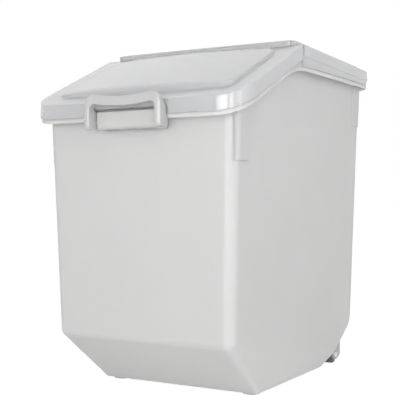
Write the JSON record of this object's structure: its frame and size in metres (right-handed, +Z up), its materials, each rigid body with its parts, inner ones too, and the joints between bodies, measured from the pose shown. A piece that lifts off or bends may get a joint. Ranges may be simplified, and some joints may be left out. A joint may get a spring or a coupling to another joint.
{
  "type": "rice bin with flip lid",
  "caption": "Tapered translucent bin for dry food, with a fixed rear cover, a sloped flip lid hinged at the ridge, a bail latch at the front and rear wheels.",
  "frame": {"origin": "on the floor, under the middle of the whole bin, latch included", "axes": "+X to the right as seen from the front, +Y from the front latch towards the rear wheels, +Z up"},
  "size_m": [0.271, 0.399, 0.3983],
  "materials": {
    "tub_plastic": "translucent natural polypropylene, satin",
    "lid_plastic": "translucent natural polypropylene, glossy",
    "seal_silicone": "soft, matt",
    "pin_steel": "bright drawn wire",
    "handle_plastic": "opaque white, satin",
    "housing_plastic": "translucent grey-white, satin",
    "wheel_plastic": "dark grey moulded",
    "tyre_rubber": "matt",
    "cap_plastic": "opaque white, satin",
    "foot_plastic": "opaque grey-white, matt"
  },
  "bodies": {
    "bin": {"tub": "tub_plastic", "rear_cover": "lid_plastic", "hinge_pin_left": "pin_steel", "hinge_pin_right": "pin_steel", "wheel_housing_left": "housing_plastic", "wheel_housing_right": "housing_plastic", "axle_left": "pin_steel", "axle_right": "pin_steel", "axle_cap_left": "cap_plastic", "axle_cap_right": "cap_plastic", "front_foot_left": "foot_plastic", "front_foot_right": "foot_plastic"},
    "lid": {"flip_lid": "lid_plastic", "lid_seal": "seal_silicone"},
    "latch": {"latch_handle": "handle_plastic"},
    "wheel_left": {"wheel_left": "wheel_plastic", "tyre_left": "tyre_rubber"},
    "wheel_right": {"wheel_right": "wheel_plastic", "tyre_right": "tyre_rubber"}
  },
  "joints": [
    {"name": "lid_hinge", "type": "hinge", "parent": "bin", "child": "lid", "pos_m": [0, -0.03858, 0.3875], "axis": [-1, 0, 0], "range_deg": [0, 125]},
    {"name": "latch_pivot", "type": "hinge", "parent": "bin", "child": "latch", "pos_m": [0, -0.18498, 0.2995], "axis": [1, 0, 0], "range_deg": [0, 120]},
    {"name": "wheel_left_spin", "type": "hinge", "parent": "bin", "child": "wheel_left", "pos_m": [-0.0925, 0.14002, 0.0115], "axis": [1, 0, 0], "continuous": true},
    {"name": "wheel_right_spin", "type": "hinge", "parent": "bin", "child": "wheel_right", "pos_m": [0.0925, 0.14002, 0.0115], "axis": [1, 0, 0], "continuous": true}
  ]
}
